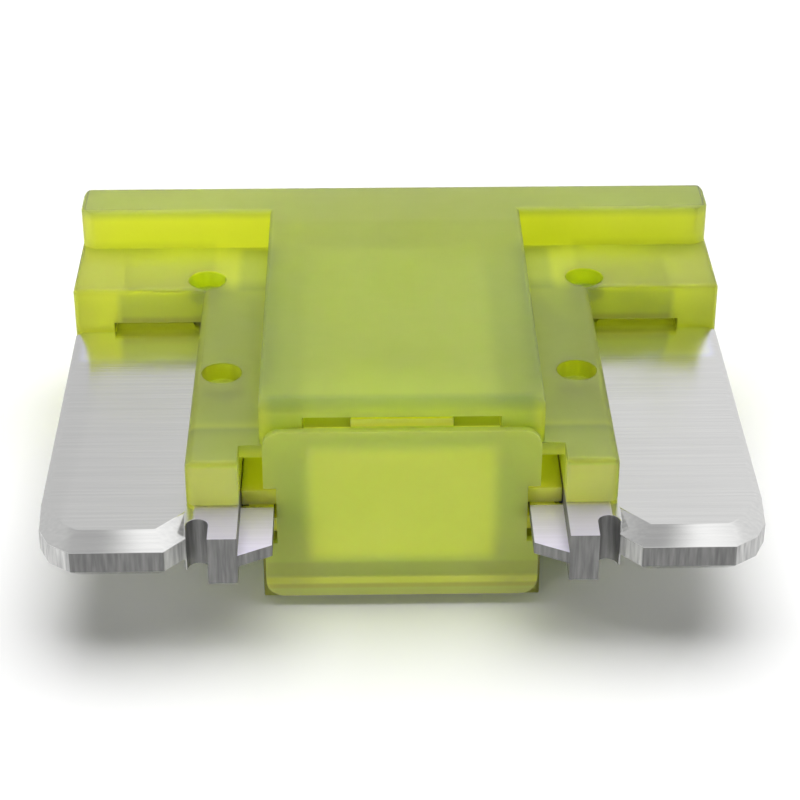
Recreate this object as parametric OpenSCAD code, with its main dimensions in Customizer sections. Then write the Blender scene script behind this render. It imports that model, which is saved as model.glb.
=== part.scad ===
// Low-profile miniature blade fuse, lying on its broad face.
// +X runs across the two blades, +Y from the blade tips to the head, +Z up.
// The origin is the centre of the underside.

/* [Overall size] */
// Width across the head, and across the outer edges of the blades
overall_w = 10.9; // [10.5:0.1:11.5]
// Length from the blade tips to the head's end
overall_l = 8.73; // [8.4:0.01:9.1]
// Thickness of the moulding, from its underside to its top
overall_t = 3.6; // [3.5:0.01:3.9]
// Height of the top above the middle of the metal
top_h = 1.905; // [1.85:0.005:2]

/* [Head] */
// Length of the full-thickness bar at the head's end
bar_l = 0.93; // [0.7:0.01:1.1]
// Length of the whole head, bar and ledges
head_l = 2.45; // [2.3:0.01:2.7]
// Step down from the top to the ledges and shoulders
ledge_drop = 0.72; // [0.6:0.01:0.8]
// Radius of the bar's corners at the head's end
bar_corner_r = 0.26; // [0.1:0.01:0.4]
// How far the bar stands in from the overall width on each side
bar_inset = 0.02; // [0:0.01:0.1]
// Wall left outside each blade in the head
head_wall = 0.66; // [0.5:0.01:0.8]
// Taller entry of each blade slot, above and below the blade
entry_gap = 0.15; // [0.05:0.01:0.2]
// Depth of that taller entry
entry_l = 0.3; // [0.2:0.01:0.4]
// Width of each test window in the head's end
probe_w = 1.4; // [1:0.05:1.8]
// Height of each test window
probe_h = 0.7; // [0.5:0.05:0.8]

/* [Centre block and shoulders] */
// How far the centre block's sides stand in from the blades' thick metal
block_step = 0.31; // [0.2:0.01:0.4]
// How far the block's open mouth stands back from the blade tips
mouth_back = 1.335; // [1.2:0.005:1.5]
// Radius along the block's front edges
nose_r = 0.22; // [0.1:0.01:0.24]
// How far each shoulder covers its blade, from the thick metal's inner edge
shoulder_cover = 0.79; // [0.7:0.01:0.9]
// Radius along the shoulders' outer edges
shoulder_r = 0.15; // [0.05:0.01:0.2]
// How far the lugs beside the mouth reach past it
lug_l = 0.49; // [0.3:0.01:0.6]
// How far the shoulders' lower halves stand back from the mouth
under_back = 0.75; // [0.6:0.01:1]
// Radius on the remaining outside edges of the moulding
edge_r = 0.09; // [0.04:0.01:0.12]

/* [Cavity] */
// How far the tall middle chamber stands in from the blades' thick metal
chamber_step = 0.97; // [0.9:0.01:1.1]
// Wall above and below the tall middle chamber
chamber_roof = 0.25; // [0.25:0.01:0.35]
// Wall above the wide, low part of the cavity
low_roof = 0.22; // [0.18:0.01:0.3]
// Depth of the wide, low part of the cavity under the middle of the metal
low_depth = 0.52; // [0.45:0.01:0.65]
// Solid part of the head behind the cavity
cavity_back = 2.2; // [2:0.05:2.4]

/* [Stakes] */
// Diameter of the stakes' dimples
stake_d = 0.64; // [0.5:0.01:0.7]
// Depth of the dimples
stake_depth = 0.3; // [0.2:0.01:0.4]
// Diameter of the plastic post that each stake leaves through the blade
post_d = 0.5; // [0.4:0.01:0.56]
// Distance of the ledge stakes from the thick metal's inner edge
ledge_stake_x = 0.74; // [0.6:0.01:0.8]
// Distance of the ledge stakes from the ledges' front
ledge_stake_y = 0.34; // [0.34:0.01:0.5]
// Distance of the shoulder stakes from the thick metal's inner edge
shoulder_stake_x = 0.35; // [0.33:0.01:0.45]
// Distance of the shoulder stakes from the mouth
shoulder_stake_y = 2.16; // [1.8:0.01:2.4]

/* [Blades] */
// Width of each blade
blade_w = 2.8; // [2.7:0.01:2.85]
// Thickness of the blades
blade_t = 0.8; // [0.7:0.01:0.85]
// Full-thickness strip left beside each blade, where the thin web begins
land_w = 0.19; // [0.15:0.01:0.22]
// How far the coined bevel runs in from the tip
tip_bevel_l = 0.28; // [0.15:0.01:0.35]
// How far the coined bevel drops at the tip
tip_bevel_h = 0.23; // [0.1:0.01:0.3]
// Width of the coined bevel along the outer edge
side_bevel_w = 0.13; // [0.05:0.01:0.2]
// How far that bevel drops at the outer edge
side_bevel_h = 0.07; // [0.03:0.01:0.1]
// Width of the tapered outer corner
corner_w = 0.52; // [0.3:0.01:0.6]
// Length of the tapered outer corner
corner_l = 0.62; // [0.4:0.01:0.7]
// Distance of the outer corner's bend from the outer edge
bend_w = 0.17; // [0.1:0.01:0.25]
// Distance of that bend from the tip
bend_l = 0.25; // [0.15:0.01:0.35]
// Width of the tapered inner corner
inner_corner_w = 0.32; // [0.2:0.01:0.4]
// Length of the tapered inner corner
inner_corner_l = 0.35; // [0.2:0.01:0.36]
// Width of the plain end between the web and the relief notch
stub_w = 0.44; // [0.35:0.01:0.5]
// Width of the relief notch in each tip
notch_w = 0.33; // [0.25:0.01:0.4]
// Depth of the relief notch
notch_l = 0.37; // [0.25:0.01:0.45]
// Length of blade held inside the head
blade_seat_l = 1.75; // [1.6:0.01:1.8]

/* [Fuse link] */
// Thickness of the coined web and link
web_t = 0.2; // [0.15:0.01:0.3]
// Width of each leg of the web beside its blade
leg_w = 0.51; // [0.45:0.01:0.55]
// How far the web's end slants back across its width
web_slant = 0.27; // [0.1:0.01:0.4]
// Width of the slit that parts the leg from the blade inside the cavity
relief_w = 0.12; // [0.1:0.01:0.16]
// Gap between the bridge and the cavity's far end
bridge_gap = 0.6; // [0.3:0.05:0.9]
// Width of the bridge between the legs
bridge_w = 0.75; // [0.6:0.01:0.9]
// Width of the neck in the bridge that melts
neck_w = 0.3; // [0.2:0.01:0.4]
// Length of the neck
neck_l = 0.7; // [0.4:0.01:1]

/* [End cap] */
// Gap between the cap's flange and each lug
flange_gap = 0.36; // [0.3:0.01:0.42]
// How far the flange stands in from the moulding's top and underside
flange_step = 0.415; // [0.35:0.005:0.45]
// Thickness of the cap's flange in front of the mouth
flange_t = 0.13; // [0.1:0.01:0.2]
// Radius of the flange's corners
cap_corner_r = 0.28; // [0.1:0.01:0.35]
// Height of the notches that let the legs pass
cap_notch_h = 1; // [0.7:0.01:1.2]
// Height of the plug's wings, which lie above and below the legs
wing_h = 0.25; // [0.2:0.01:0.3]
// Depth of the plug behind the flange
plug_l = 1.1; // [0.8:0.05:1.4]
// Thickness of the cap's end wall
end_wall = 0.34; // [0.25:0.01:0.45]
// Side walls of the plug's pocket
pocket_wall = 0.46; // [0.3:0.01:0.55]
// Floor under the plug's pocket, above the flange's lower edge
pocket_floor = 0.58; // [0.4:0.01:0.65]
// Roof over the plug's pocket, below the flange's upper edge
pocket_roof = 0.3; // [0.25:0.01:0.5]
// Width of the open slits that leave a latch between them, above the plug
slit_w = 0.7; // [0.5:0.01:0.9]
// Height of the slits
slit_h = 0.16; // [0.1:0.01:0.2]

/* [Clearances] */
// Gap round the blades in their slots, on each side
slot_gap = 0.03; // [0.02:0.01:0.05]
// Gap round the plug and behind the flange
seat_gap = 0.02; // [0.01:0.01:0.04]

/* [Hidden] */
$fn = 48;
// Overshoot of each cutter past the face that it opens
over = 0.5;
// The metal's mid plane
mid_z = overall_t - top_h;
head_y = overall_l / 2;
tip_y = -overall_l / 2;
ledge_y = head_y - head_l;
bar_y = head_y - bar_l;
mouth_y = tip_y + mouth_back;
lug_y = mouth_y - lug_l;
ledge_t = 2 * (top_h - ledge_drop);
bar_w = overall_w - 2 * bar_inset;
// Thick metal starts here, and the thin web lies inside it
land_x = overall_w / 2 - blade_w - land_w;
leg_x = land_x - leg_w;
// The blade's tip bevels start here, outside the relief notch
notch_x = land_x + stub_w + notch_w;
block_w = 2 * (land_x - block_step);
shoulder_w = 2 * (land_x + shoulder_cover);
chamber_w = 2 * (land_x - chamber_step);
low_top = mid_z + ledge_t / 2 - low_roof;
low_z = mid_z - low_depth;
chamber_top = overall_t - chamber_roof;
seat_y = ledge_y + blade_seat_l;
slot_t = blade_t + 2 * slot_gap;
cavity_y = head_y - cavity_back;
bridge_y = cavity_y - bridge_gap;
cap_w = 2 * (land_x - flange_gap);
cap_h = 2 * (top_h - flange_step);
stakes = [
    [land_x + ledge_stake_x, ledge_y + ledge_stake_y],
    [land_x + shoulder_stake_x, mouth_y + shoulder_stake_y]
];

// Rectangle with round corners, about its centre
module round_rect(w, l, r) {
    square([w, l - 2 * r], center = true);
    square([w - 2 * r, l], center = true);
    for (sx = [-1, 1], sy = [-1, 1])
        translate([sx * (w / 2 - r), sy * (l / 2 - r)]) circle(r);
}

// Box of width w with every edge rounded: plan_r is for the upright edges, end_r for
// those along X and side_r for those along Y
module soft_box(w, y0, y1, z0, z1, plan_r, end_r, side_r) {
    l = y1 - y0;
    t = z1 - z0;
    translate([0, (y0 + y1) / 2, (z0 + z1) / 2]) intersection() {
        linear_extrude(t, center = true) round_rect(w, l, plan_r);
        rotate([90, 0, 90]) linear_extrude(w, center = true) round_rect(l, t, end_r);
        rotate([90, 0, 0]) linear_extrude(l, center = true) round_rect(w, t, side_r);
    }
}

// Plain box between two corners
module span_box(a, b) {
    translate(a) cube(b - a);
}

// Plain box about the mid plane, from x0 to x1 and y0 to y1
module mid_box(x0, x1, y0, y1, t) {
    span_box([x0, y0, mid_z - t / 2], [x1, y1, mid_z + t / 2]);
}

module both_sides() {
    children();
    mirror([1, 0, 0]) children();
}

// The moulding's outside: bar, ledges, centre block and shoulders
module housing_body() {
    ledge_z = mid_z - ledge_t / 2;
    ledge_top = mid_z + ledge_t / 2;
    soft_box(bar_w, bar_y, head_y, 0, overall_t, bar_corner_r, edge_r, edge_r);
    soft_box(overall_w, ledge_y, head_y - bar_corner_r, ledge_z, ledge_top,
        edge_r, edge_r, edge_r);
    soft_box(block_w, mouth_y, head_y - edge_r, 0, overall_t, edge_r, nose_r, edge_r);
    difference() {
        soft_box(shoulder_w, lug_y, bar_y, ledge_z, ledge_top, shoulder_r, edge_r, shoulder_r);
        // The lugs stand on either side of the mouth
        mid_box(-land_x, land_x, lug_y - over, mouth_y, 2 * overall_t);
        // Under the metal the shoulders stop short of it
        span_box([-shoulder_w, lug_y - over, -over], [shoulder_w, mouth_y + under_back, mid_z]);
    }
}

// The stepped cavity: a low part as wide as the link, and a tall middle chamber
module cavity() {
    span_box([-land_x, mouth_y - over, low_z], [land_x, cavity_y, low_top]);
    span_box([-chamber_w / 2, mouth_y - over, chamber_roof],
        [chamber_w / 2, cavity_y, chamber_top]);
}

// The slot that one blade slides into, and its test window
module blade_slot() {
    slot_x = overall_w / 2 - head_wall;
    mid_box(land_x - over, overall_w, lug_y - over, ledge_y, slot_t);
    mid_box(land_x - over, slot_x, ledge_y - over, seat_y + slot_gap, slot_t);
    mid_box(land_x, slot_x, ledge_y - over, ledge_y + entry_l, blade_t + 2 * entry_gap);
    probe_x = (land_x + slot_x) / 2;
    mid_box(probe_x - probe_w / 2, probe_x + probe_w / 2, seat_y, head_y + over, probe_h);
}

module housing() {
    color("#b4c447") {
        difference() {
            housing_body();
            cavity();
            both_sides() blade_slot();
            // Dimples pressed in from above and below
            both_sides() for (p = stakes, s = [-1, 1])
                translate([p[0], p[1], mid_z + s * ledge_t / 2])
                    rotate([s > 0 ? 180 : 0, 0, 0])
                        translate([0, 0, -over])
                            cylinder(d = stake_d, h = stake_depth + over);
        }
        // Plastic pressed through the blades' holes ties the two walls together
        both_sides() for (p = stakes)
            translate([p[0], p[1], mid_z - slot_t / 2 - stake_depth / 2])
                cylinder(d = post_d, h = slot_t + stake_depth);
    }
}

// Cutter for a coined bevel on the top and bottom of the edge from a to b. It runs in
// by w and drops by h, and the metal lies to the left of the edge.
module coin(a, b, w, h) {
    d = b - a;
    slope = h / w;
    for (s = [0, 1])
        translate([(a[0] + b[0]) / 2, (a[1] + b[1]) / 2, mid_z])
            mirror([0, 0, s])
                rotate([0, 0, atan2(d[1], d[0]) - 90])
                    rotate([90, 0, 0])
                        linear_extrude(norm(d) + 2 * over, center = true)
                            polygon([
                                [-w, blade_t / 2],
                                [over, blade_t / 2 - slope * (w + over)],
                                [over, blade_t],
                                [-w, blade_t]
                            ]);
}

// Free end of one blade outside its relief notch, with coined edges
module blade_tip() {
    outer_x = overall_w / 2;
    edge = [
        [notch_x, tip_y + inner_corner_l],
        [notch_x + inner_corner_w, tip_y],
        [outer_x - corner_w, tip_y],
        [outer_x - bend_w, tip_y + bend_l],
        [outer_x, tip_y + corner_l],
        [outer_x, ledge_y - slot_gap]
    ];
    difference() {
        translate([0, 0, mid_z - blade_t / 2])
            linear_extrude(blade_t)
                polygon(concat(edge, [[notch_x, ledge_y - slot_gap]]));
        for (i = [0 : 3])
            coin(edge[i], edge[i + 1], tip_bevel_l, tip_bevel_h);
        coin(edge[4], edge[5], side_bevel_w, side_bevel_h);
    }
}

// One thick blade, from its tip to its seat in the head
module blade() {
    seat_x = overall_w / 2 - head_wall - slot_gap;
    root_y = tip_y + notch_l;
    difference() {
        union() {
            blade_tip();
            mid_box(land_x, notch_x + slot_gap, root_y, seat_y, blade_t);
            mid_box(notch_x, seat_x, ledge_y - over, seat_y, blade_t);
            // Plain land between the notch and the web
            mid_box(land_x, land_x + stub_w, tip_y, root_y + notch_w, blade_t);
        }
        translate([notch_x - notch_w / 2, root_y, mid_z])
            cylinder(d = notch_w, h = overall_t, center = true);
        // Holes that the stakes fill
        for (p = stakes)
            translate([p[0], p[1], mid_z])
                cylinder(d = post_d + 2 * slot_gap, h = overall_t, center = true);
    }
}

// Coined web and leg beside one blade
module leg() {
    translate([0, 0, mid_z - web_t / 2]) linear_extrude(web_t)
        polygon([
            [leg_x, tip_y + web_slant],
            [land_x, tip_y],
            [land_x + slot_gap, tip_y],
            [land_x + slot_gap, bridge_y],
            [leg_x, bridge_y]
        ]);
}

module fuse_element() {
    bridge_low = bridge_y - bridge_w;
    nick = (bridge_w - neck_w) / 2;
    color("#c2c2c0") difference() {
        union() {
            both_sides() {
                blade();
                leg();
            }
            mid_box(-leg_x - slot_gap, leg_x + slot_gap, bridge_low, bridge_y, web_t);
        }
        // The slit sends the current down each blade and up its leg
        both_sides() mid_box(land_x - relief_w, land_x, mouth_y, seat_y + over, overall_t);
        // Round-ended nicks leave the neck
        for (y = [bridge_low, bridge_y]) {
            mid_box(-neck_l / 2, neck_l / 2, y - nick, y + nick, overall_t);
            both_sides() translate([neck_l / 2, y, mid_z])
                cylinder(r = nick, h = overall_t, center = true);
        }
    }
}

// Plug that closes the mouth, with a flange outside and a pocket behind its end wall
module end_cap() {
    back_y = mouth_y - seat_gap;
    flange_y = back_y - flange_t;
    plug_y = mouth_y + plug_l;
    low_x = leg_x - 2 * seat_gap;
    tall_x = chamber_w / 2 - seat_gap;
    wall_z = mid_z - cap_h / 2;
    wing_z = web_t / 2 + seat_gap;
    color("#a9b94a") {
        difference() {
            union() {
                translate([0, back_y, mid_z]) rotate([90, 0, 0])
                    linear_extrude(flange_t) round_rect(cap_w, cap_h, cap_corner_r);
                span_box([-low_x, flange_y + flange_t / 2, low_z + seat_gap],
                    [low_x, plug_y, low_top - seat_gap]);
                span_box([-tall_x, back_y, chamber_roof + seat_gap],
                    [tall_x, plug_y, chamber_top - seat_gap]);
            }
            // Slits beside the latch
            both_sides()
                span_box([tall_x - slit_w, back_y, chamber_top - slit_h],
                    [tall_x + over, plug_y + over, overall_t]);
            // Notches for the legs
            both_sides() mid_box(low_x, cap_w, flange_y - over, mouth_y + over, cap_notch_h);
            // Pocket, open to the cavity
            pocket_w = 2 * low_x - 2 * pocket_wall;
            translate([-pocket_w / 2, flange_y + end_wall, wall_z + pocket_floor])
                cube([pocket_w, plug_l + over, cap_h - pocket_floor - pocket_roof]);
        }
        // Wings on either side of each leg
        both_sides() for (s = [0, 1])
            translate([0, 0, mid_z]) mirror([0, 0, s])
                span_box([low_x - pocket_wall / 2, mouth_y, wing_z],
                    [land_x - seat_gap, plug_y, wing_z + wing_h]);
    }
}

housing();
fuse_element();
end_cap();
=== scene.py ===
import math

import bmesh
import bpy
from mathutils import Matrix, Vector


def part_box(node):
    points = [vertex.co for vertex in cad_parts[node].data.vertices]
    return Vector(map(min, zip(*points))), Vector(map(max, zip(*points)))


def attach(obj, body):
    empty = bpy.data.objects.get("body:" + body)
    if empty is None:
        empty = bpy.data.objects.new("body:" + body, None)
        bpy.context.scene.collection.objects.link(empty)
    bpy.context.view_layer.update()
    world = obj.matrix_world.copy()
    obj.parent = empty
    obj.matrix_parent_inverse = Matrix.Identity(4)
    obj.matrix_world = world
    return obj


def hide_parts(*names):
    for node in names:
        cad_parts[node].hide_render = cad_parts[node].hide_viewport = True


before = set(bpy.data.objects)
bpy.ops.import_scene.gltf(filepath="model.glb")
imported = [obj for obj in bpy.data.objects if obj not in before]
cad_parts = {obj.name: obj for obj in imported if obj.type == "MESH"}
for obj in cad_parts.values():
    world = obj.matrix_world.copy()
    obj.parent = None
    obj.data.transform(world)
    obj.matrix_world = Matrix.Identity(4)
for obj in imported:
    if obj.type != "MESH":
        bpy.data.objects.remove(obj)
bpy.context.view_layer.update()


# Moulding: one injection-moulded body of clear, dyed nylon with a satin skin. The melt runs in
# through a gate in the head's end, and leaves faint swirls where it flows.
MM = 0.001
low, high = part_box("housing")
block_top, ledge_top, ledge_front = 3.6, 2.88, 1.92     # planes of the moulding, in mm
plastic_edge = 0.02 * MM                                # small round along the edges
welded = 0.0002 * MM                                    # corners this close are one corner
coplanar = math.radians(0.6)                            # faces that turn less are one face
crease = math.radians(32)                               # edges that turn more look sharp
rounded_from = math.radians(35)                         # edges that turn more are rounded
upright = 0.2                                           # Z of a cut face's normal, at most


def put_in(name, data):
    """An object for a mesh, lamp or camera, linked into the scene."""
    piece = bpy.data.objects.new(name, data)
    bpy.context.scene.collection.objects.link(piece)
    return piece


def finished_copy(node, name, edge, *finishes):
    """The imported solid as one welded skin, with a small round along its sharp edges. A
    second finish goes on its upright faces."""
    skin = bmesh.new()
    skin.from_mesh(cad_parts[node].data)
    bmesh.ops.remove_doubles(skin, verts=skin.verts, dist=welded)
    bmesh.ops.dissolve_limit(skin, angle_limit=coplanar, verts=skin.verts, edges=skin.edges)
    mesh = bpy.data.meshes.new(name)
    skin.to_mesh(mesh)
    skin.free()
    for layer in ("custom_normal", "sharp_edge", "sharp_face"):
        if layer in mesh.attributes:
            mesh.attributes.remove(mesh.attributes[layer])
    mesh.materials.clear()
    for finish in finishes:
        mesh.materials.append(finish.material)
    for face in mesh.polygons:
        face.material_index = int(len(finishes) > 1 and abs(face.normal.z) < upright)
    mesh.shade_smooth()
    mesh.set_sharp_from_angle(angle=crease)
    piece = put_in(name, mesh)
    rounding = piece.modifiers.new("worn_edges", "BEVEL")
    rounding.width = edge
    rounding.segments = 2
    rounding.limit_method = "ANGLE"
    rounding.angle_limit = rounded_from
    rounding.harden_normals = True
    rounding.use_clamp_overlap = True
    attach(piece, "root")
    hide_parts(node)
    return piece


class Shading:
    """Short calls that add shader nodes to a node tree."""

    def __init__(self, tree):
        self.tree = tree

    def add(self, kind, inputs=None, **settings):
        node = self.tree.nodes.new("ShaderNode" + kind)
        for key, value in settings.items():
            setattr(node, key, value)
        for socket, value in (inputs or {}).items():
            if isinstance(value, bpy.types.NodeSocket):
                self.tree.links.new(value, node.inputs[socket])
            else:
                node.inputs[socket].default_value = value
        return node

    def calc(self, operation, *values):
        return self.add("Math", dict(enumerate(values)), operation=operation).outputs["Value"]

    def span(self, value, start, end, to_start, to_end, **settings):
        return self.add("MapRange", {"Value": value, "From Min": start, "From Max": end,
                                     "To Min": to_start, "To Max": to_end},
                        **settings).outputs["Result"]


class Finish(Shading):
    """A material, its Principled shader and short calls for the patterns in front of it."""

    def __init__(self, name, **sockets):
        self.material = bpy.data.materials.new(name)
        self.material.use_nodes = True
        super().__init__(self.material.node_tree)
        self.shader = self.tree.nodes["Principled BSDF"]
        self.output = self.tree.nodes["Material Output"]
        for socket, value in sockets.items():
            self.shader.inputs[socket.replace("_", " ")].default_value = value
        self.place = self.add("TexCoord").outputs["Object"]

    def noise(self, per_mm, stretch=(1, 1, 1), detail=3.0, offset=(0, 0, 0)):
        scaled = self.add("Mapping", {"Vector": self.place, "Location": offset,
                                      "Scale": [s * per_mm / MM for s in stretch]})
        return self.add("TexNoise", {"Vector": scaled.outputs["Vector"], "Scale": 1.0,
                                     "Detail": detail}).outputs["Fac"]

    def ramp(self, value, *stops):
        ramp = self.add("ValToRGB", {"Fac": value})
        for i, (position, colour) in enumerate(stops):
            stop = ramp.color_ramp.elements[i] if i < 2 else ramp.color_ramp.elements.new(position)
            stop.position = position
            stop.color = (*colour, 1.0)
        return ramp.outputs["Color"]

    def bump(self, height, distance, strength, under=None):
        inputs = {"Height": height, "Distance": distance, "Strength": strength}
        if under is not None:
            inputs["Normal"] = under
        return self.add("Bump", inputs).outputs["Normal"]

    def tint(self, amount, colour):
        """Multiplies the shade by colour where amount is 1."""
        if not isinstance(colour, bpy.types.NodeSocket):
            colour = (*colour, 1.0)
        self.shade = self.add("MixRGB", {"Fac": amount, "Color1": self.shade, "Color2": colour},
                              blend_type="MULTIPLY").outputs["Color"]

    def zone(self, middle, half, soft):
        """1 in a box round middle and 0 outside it, over a soft border, in mm. None leaves an
        axis open, and X counts both sides alike."""
        inside = None
        split = self.add("SeparateXYZ", {0: self.place}).outputs
        for axis, m, h in zip("XYZ", middle, half):
            if h is None:
                continue
            along = self.calc("ABSOLUTE", split[axis]) if axis == "X" else split[axis]
            away = self.calc("ABSOLUTE", self.calc("SUBTRACT", along, m * MM))
            near = self.span(away, (h - soft) * MM, (h + soft) * MM, 1.0, 0.0,
                             interpolation_type="SMOOTHSTEP")
            inside = near if inside is None else self.calc("MULTIPLY", inside, near)
        return inside

    def set(self, socket, value):
        self.tree.links.new(value, self.shader.inputs[socket])


def dyed_plastic(name, pale, deep, clear, offset):
    """Hazy lime plastic: pale and deep are the dye's two shades along the melt's flow."""
    plastic = Finish(name, IOR=1.57, Transmission_Weight=clear, Subsurface_Weight=1.0,
                     Subsurface_Scale=0.8 * MM, Subsurface_Radius=(1.0, 1.0, 0.2))
    flow = plastic.noise(0.55, (1.0, 0.7, 1.3), 2.0, offset)
    plastic.shade = plastic.ramp(flow, (0.3, deep), (0.7, pale))
    plastic.skin = plastic.span(plastic.noise(2.5), 0.3, 0.7, 0.54, 0.66)
    plastic.set("Roughness", plastic.skin)
    plastic.set("Normal", plastic.bump(flow, 0.03 * MM, 0.3))
    dye = plastic.add("VolumeAbsorption", {"Color": (0.965, 0.98, 0.0, 1.0), "Density": 2000.0})
    plastic.tree.links.new(dye.outputs["Volume"], plastic.output.inputs["Volume"])
    return plastic


# Painted shade and light on the dye. Painted shade falls over the shoulders where the blades lie
# inside, on the ledges, the head's stake dimples, the slots, the tops, the nose and the ledge
# fronts; the shoulders' dimples get a painted highlight. Each zone has its middle, half size and
# soft border in mm, and what multiplies the dye.
painted_shading_zones = {
    "shoulders over the blades": ((2.72, -0.25, 0), (0.66, 2.3, None), 0.32, (0.55, 0.59, 0.80)),
    "shoulders' mouth ends": ((2.72, -3.0, ledge_top), (0.66, 0.48, 0.1), 0.08, (0.56, 0.60, 1.0)),
    "ledges by the block": ((2.33, 2.6, ledge_top), (0.33, 0.75, 0.1), 0.1, (0.68, 0.72, 1.0)),
    "head's stake dimples": ((3.2, 2.28, 2.68), (0.36, 0.32, 0.18), 0.02, (0.66, 0.79, 0.9)),
    "shoulders' dimples": ((2.81, -0.87, 2.68), (0.36, 0.36, 0.18), 0.02, (1.7, 1.6, 1.3)),
    "ledge tops": ((4.4, 2.7, ledge_top), (1.3, 0.8, 0.1), 0.08, (0.86, 0.87, 0.9)),
    "slots' tall entries": ((3.95, 2.7, 2.2), (0.9, 0.72, 0.16), 0.04, (0.30, 0.30, 0.5)),
    "bar and block tops": ((0, 0, block_top), (None, None, 0.12), 0.1, (0.62, 0.68, 1.5)),
    "block's nose": ((0, -3.0, 3.35), (2.0, 0.2, 0.35), 0.1, (0.70, 0.76, 1.0)),
    "ledge fronts": ((3.95, ledge_front, 2.45), (0.74, 0.15, 0.35), 0.08, (0.68, 0.70, 1.6)),
    "streaks over the slots": ((3.85, ledge_front, 2.22), (0.80, 0.15, 0.13), 0.05,
                               (0.72, 0.66, 0.9)),
}
lime_clear, thick_clear = 0.74, 0.60
lime = dyed_plastic("lime_plastic", (0.92, 0.96, 0.16), (0.86, 0.91, 0.12), lime_clear, (0, 0, 0))
for middle, half, soft, colour in painted_shading_zones.values():
    lime.tint(lime.zone(middle, half, soft), colour)
matt_top = lime.zone((0, -1.0, block_top), (2.1, 4.0, 0.12), 0.1)
lime.set("Roughness", lime.calc("MULTIPLY_ADD", matt_top, 0.2, lime.skin))
# Painted light on the lugs' fronts.
lugs = lime.zone((2.8, -3.5, 2.42), (0.4, 0.3, 0.38), 0.05)
lime.tint(lugs, (1.25, 1.42, 2.4))
ledge_ends = lime.zone((4.98, 2.6, 2.5), (0.34, 1.2, 0.45), 0.08)
lime.set("Transmission Weight", lime.span(lime.calc("ADD", lugs, ledge_ends), 0.0, 1.0,
                                          lime_clear, thick_clear))

# Painted shade: the dye is a little darker towards the right end, by up to 14 percent.
across = lime.add("SeparateXYZ", {0: lime.place}).outputs["X"]
lime.tint(lime.span(across, 1.0 * MM, 5.5 * MM, 0.0, 1.0), (0.86, 0.88, 1.0))
lime.set("Base Color", lime.shade)
moulding = finished_copy("housing", "moulding", plastic_edge, lime)

# The gate's stub is broken off, so it stands a hair proud, with a torn top that sinks in rings.
gate_r, gate_tall, gate_sides, gate_taper = 0.36 * MM, 0.05 * MM, 28, 0.86
tear_rings, tear_width, tear_height, tear_sink = 3, 0.2 * gate_r, 0.16 * gate_tall, 0.1 * gate_tall
stub = bmesh.new()
bmesh.ops.create_cone(stub, cap_ends=True, segments=gate_sides, radius1=gate_r,
                      radius2=gate_r * gate_taper, depth=2 * gate_tall)
torn = max(stub.faces, key=lambda face: face.calc_center_median().z)
for ring in range(tear_rings):
    bmesh.ops.inset_region(stub, faces=[torn], thickness=tear_width)
    torn.normal_update()
    for i, vert in enumerate(torn.verts):
        vert.co.z += tear_height * math.sin(2.3 * i + 1.7 * ring) - tear_sink * ring
bmesh.ops.rotate(stub, verts=stub.verts, matrix=Matrix.Rotation(math.radians(-90), 3, "X"))
bmesh.ops.translate(stub, verts=stub.verts, vec=(0, high.y, (low.z + high.z) / 2))
bmesh.ops.recalc_face_normals(stub, faces=stub.faces)
gate_mesh = bpy.data.meshes.new("gate_mark")
stub.to_mesh(gate_mesh)
stub.free()
gate_mesh.materials.append(lime.material)
gate_mesh.shade_smooth()
gate_mesh.set_sharp_from_angle(angle=crease)
gate = put_in("gate_mark", gate_mesh)
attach(gate, "root")


# Fuse element: a strip of zinc alloy, rolled along X, stamped into two blades and the link
# between them, and coined thin at the link and along the blades' tips.
tip = -4.365                                            # Y of the blades' tips, in mm
metal_edge = 0.012 * MM
zinc = Finish("rolled_zinc", Anisotropic=0.4)
grain = zinc.noise(1.0, (0.35, 22.0, 22.0), 4.0)
fine_grain = zinc.noise(1.0, (1.2, 70.0, 70.0), 3.0)
cloud = zinc.noise(0.8, detail=2.0)
zinc.shade = zinc.ramp(grain, (0.25, (0.78, 0.78, 0.775)), (0.75, (0.86, 0.86, 0.85)))

# Coining leaves the lands and the webs duller than the blades.
coined = zinc.zone((2.5, -3.9, 0), (0.62, 0.8, None), 0.03)
zinc.tint(coined, (0.66, 0.63, 0.74))
# Painted light on the thin webs, which lie low in shade.
zinc.tint(zinc.zone((2.2, -3.9, 1.7), (0.5, 0.9, 0.2), 0.02), (1.45, 1.42, 1.55))
# Painted reflection on the blades where they leave the ledges.
zinc.tint(zinc.zone((4.2, 1.4, 2.1), (1.05, 0.5, 0.2), 0.12), (1.22, 1.24, 1.5))
zinc.set("Base Color", zinc.shade)
zinc.set("Metallic", zinc.span(coined, 0.0, 1.0, 1.0, 0.2))
rolled_skin = zinc.span(cloud, 0.3, 0.7, 0.17, 0.26)
zinc.set("Roughness", zinc.calc("MULTIPLY_ADD", coined, 0.28, rolled_skin))
lines = zinc.bump(grain, 0.004 * MM, 0.35)
zinc.set("Normal", zinc.bump(fine_grain, 0.0015 * MM, 0.5, lines))

# The punch leaves the strip's cut edges dull, with upright tear marks. The tips' corners get a
# painted light beside the dull middle of the tip.
painted_corner_light = 2.6
cut = Finish("cut_zinc", Metallic=0.6, Roughness=0.6)
tears = cut.noise(1.0, (16.0, 16.0, 1.5), 3.0)
cut.shade = cut.ramp(tears, (0.3, (0.17, 0.17, 0.17)), (0.7, (0.30, 0.30, 0.295)))
cut.tint(cut.zone((4.38, -4.0, 0), (1.14, 0.45, None), 0.01), (painted_corner_light,) * 3)
cut.tint(cut.zone((4.24, tip, 0), (0.70, 0.04, None), 0.01), (1 / painted_corner_light,) * 3)
cut.set("Base Color", cut.shade)
cut.set("Normal", cut.bump(tears, 0.01 * MM, 0.6))
element = finished_copy("fuse_element", "element", metal_edge, zinc, cut)
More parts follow.
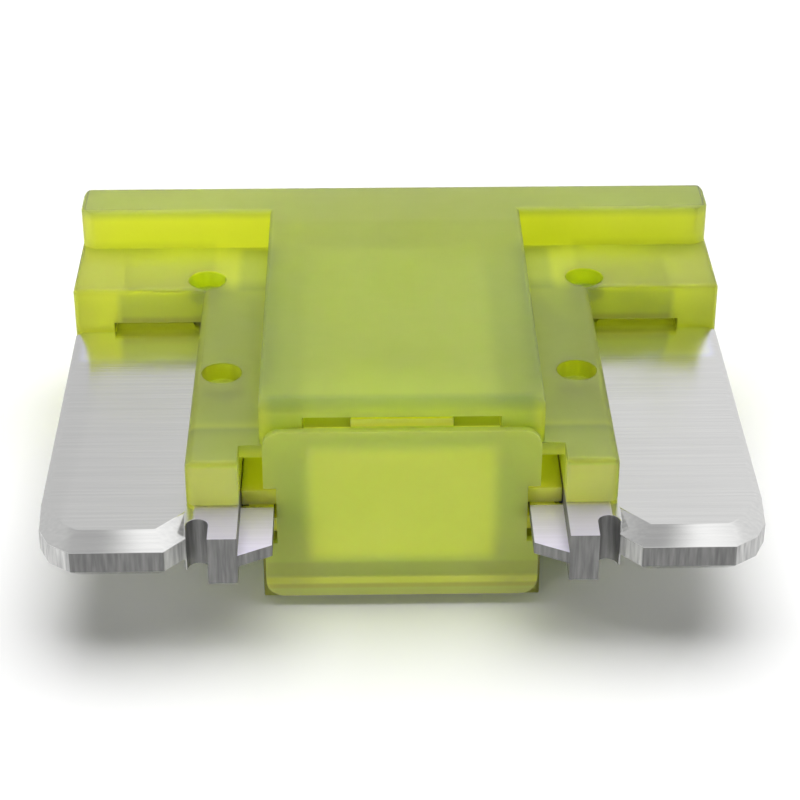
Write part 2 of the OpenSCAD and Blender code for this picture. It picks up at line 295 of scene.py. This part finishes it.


# End cap: the plug of the same dyed nylon, pressed into the mouth after the element. Its flange is
# thin over the pocket and thick at its border, and the plug's floor lies behind it low down.
cap_clear, cap_hazy = 0.42, 0.15
cap_lime = dyed_plastic("cap_plastic", (0.77, 0.93, 0.10), (0.72, 0.89, 0.08), cap_clear,
                        (3, 1, 2))
# Painted shade on the flange's border round the pocket, and painted light on the plug behind the
# flange.
flange = cap_lime.zone((0, -3.2, 0), (None, 0.15, None), 0.02)
pocket = cap_lime.zone((0, 0, 1.9), (1.43, None, 1.0), 0.16)
cap_lime.tint(cap_lime.calc("SUBTRACT", flange, cap_lime.calc("MULTIPLY", flange, pocket)),
              (0.88, 0.90, 1.4))
plug = cap_lime.calc("SUBTRACT", 1.0, flange)
cap_lime.tint(plug, (1.3, 1.15, 1.2))

# The slits above the flange get a painted shade at both sides of the latch, and the latch a
# painted highlight.
cap_lime.tint(cap_lime.zone((0, -2.8, 3.3), (None, 0.23, 0.14), 0.02), (0.42, 0.42, 0.4))
cap_lime.tint(cap_lime.zone((0, -2.85, 3.36), (0.76, 0.3, 0.14), 0.02), (2.4, 2.6, 0.8))
plug_floor = cap_lime.zone((0, 0, 0.25), (None, None, 0.3), 0.03)
hazy = cap_lime.calc("MULTIPLY", flange, cap_lime.calc("MAXIMUM", pocket, plug_floor))
hazy = cap_lime.calc("ADD", plug, hazy)
cap_lime.set("Transmission Weight", cap_lime.span(hazy, 0.0, 1.0, cap_clear, cap_hazy))

# Painted lines over the flange's lowest millimetre, from the foot up, for the plug's floor behind
# it: a painted dark line of shade, a painted bright line and a darker band.
foot, painted_dark_line, painted_bright_line, band = ((0.98, 0.94, 1.2), (0.90, 0.76, 0.8), (1.22, 1.10, 0.9),
                                      (0.92, 0.86, 1.0))
up = cap_lime.add("SeparateXYZ", {0: cap_lime.place}).outputs["Z"]
painted_floor_lines = cap_lime.ramp(cap_lime.span(up, 0.0, 1.0 * MM, 0.0, 1.0), (0.0, foot), (0.33, foot),
                            (0.37, painted_dark_line), (0.41, painted_dark_line), (0.45, painted_bright_line),
                            (0.53, painted_bright_line), (0.60, band), (0.80, band),
                            (0.86, (1.0, 1.0, 1.0)))
cap_lime.tint(flange, painted_floor_lines)
cap_lime.set("Base Color", cap_lime.shade)
cap = finished_copy("end_cap", "cap", plastic_edge, cap_lime)


# Studio: a white sheet of paper under the fuse, a white room and two soft boxes. The paper keeps
# the fuse's shadow, and away from the fuse it fades into the white room.
paper_half = 0.4
sheet = bmesh.new()
bmesh.ops.create_grid(sheet, x_segments=1, y_segments=1, size=paper_half)
paper_mesh = bpy.data.meshes.new("paper")
sheet.to_mesh(paper_mesh)
sheet.free()
paper = put_in("paper", paper_mesh)
white = Finish("white_paper", Base_Color=(0.97, 0.97, 0.97, 1), Roughness=1.0,
               Specular_IOR_Level=0.0)
seen = white.add("LightPath").outputs["Is Camera Ray"]
from_fuse = white.add("VectorMath", {0: white.place}, operation="LENGTH").outputs["Value"]
lift = white.add("Emission", {"Color": (1, 1, 1, 1),
                              "Strength": white.span(from_fuse, 0.02, 0.09, 0.03, 1.0)})
lifted = white.add("AddShader", {0: white.shader.outputs["BSDF"], 1: lift.outputs["Emission"]})
sheet_look = white.add("MixShader", {"Fac": seen, 1: white.shader.outputs["BSDF"],
                                     2: lifted.outputs["Shader"]})
white.tree.links.new(sheet_look.outputs["Shader"], white.output.inputs["Surface"])
paper_mesh.materials.append(white.material)

# The room is white to the camera and through the plastic. The metal mirrors a greyer room, with
# a brighter right side and a bright panel in the ceiling.
world = bpy.data.worlds.new("white_room")
bpy.context.scene.world = world
world.use_nodes = True
room = Shading(world.node_tree)
dim = room.tree.nodes["Background"]
dim.inputs["Color"].default_value = (1, 1, 1, 1)
dim.inputs["Strength"].default_value = 0.05
paths = room.add("LightPath").outputs
toward = room.add("SeparateXYZ", {0: room.add("TexCoord").outputs["Generated"]}).outputs
walls = room.span(toward["X"], -0.15, 0.15, 0.62, 0.80)
ceiling = room.span(toward["Z"], 0.7, 0.95, 0.0, 1.0)
panel = room.span(toward["X"], -0.15, 0.15, -0.2, 0.38)
mirrored = room.add("Background", {"Color": (1, 1, 1, 1), "Strength": room.calc(
    "MULTIPLY_ADD", ceiling, panel, walls)})
backdrop = room.add("Background", {"Color": (1, 1, 1, 1), "Strength": 1.0})
straight = room.calc("MAXIMUM", paths["Is Camera Ray"], paths["Is Transmission Ray"])
shiny = room.add("MixShader", {"Fac": paths["Is Glossy Ray"], 1: dim.outputs["Background"],
                               2: mirrored.outputs["Background"]})
whole = room.add("MixShader", {"Fac": straight, 1: shiny.outputs["Shader"],
                               2: backdrop.outputs["Background"]})
room.tree.links.new(whole.outputs["Shader"], room.tree.nodes["World Output"].inputs["Surface"])


def soft_box(name, place, size, power):
    """A square lamp that faces the fuse and isn't mirrored in the metal."""
    lamp = bpy.data.lights.new(name, "AREA")
    lamp.shape = "SQUARE"
    lamp.size = size
    lamp.energy = power
    box = put_in(name, lamp)
    box.location = place
    box.rotation_euler = (-Vector(place)).to_track_quat("-Z", "Y").to_euler()
    box.visible_glossy = False


soft_box("overhead_box", (0.01, 0.035, 0.15), 0.19, 0.365)
soft_box("front_box", (-0.09, -0.12, 0.03), 0.05, 0.06)


# Camera: a long lens, a little to the left of the fuse, 31 degrees above the paper. It looks over
# the blades' tips at the metal's mid plane.
tilt, turn, reach = 0.5454, 0.0179, 37.723 * MM
aim = Vector((0, 0, 1.69 * MM))
away = Vector((math.cos(tilt) * math.sin(turn), math.cos(tilt) * math.cos(turn), -math.sin(tilt)))
view = bpy.data.cameras.new("camera")
view.lens = 103.38
view.sensor_width = 36.0
view.shift_x = 0.0020
view.shift_y = 0.0088
view.clip_start = 0.002
view.clip_end = 2.0
camera = put_in("camera", view)
camera.location = aim - away * reach
camera.rotation_euler = away.to_track_quat("-Z", "Y").to_euler()
bpy.context.scene.camera = camera
bpy.context.scene.view_settings.view_transform = "Standard"
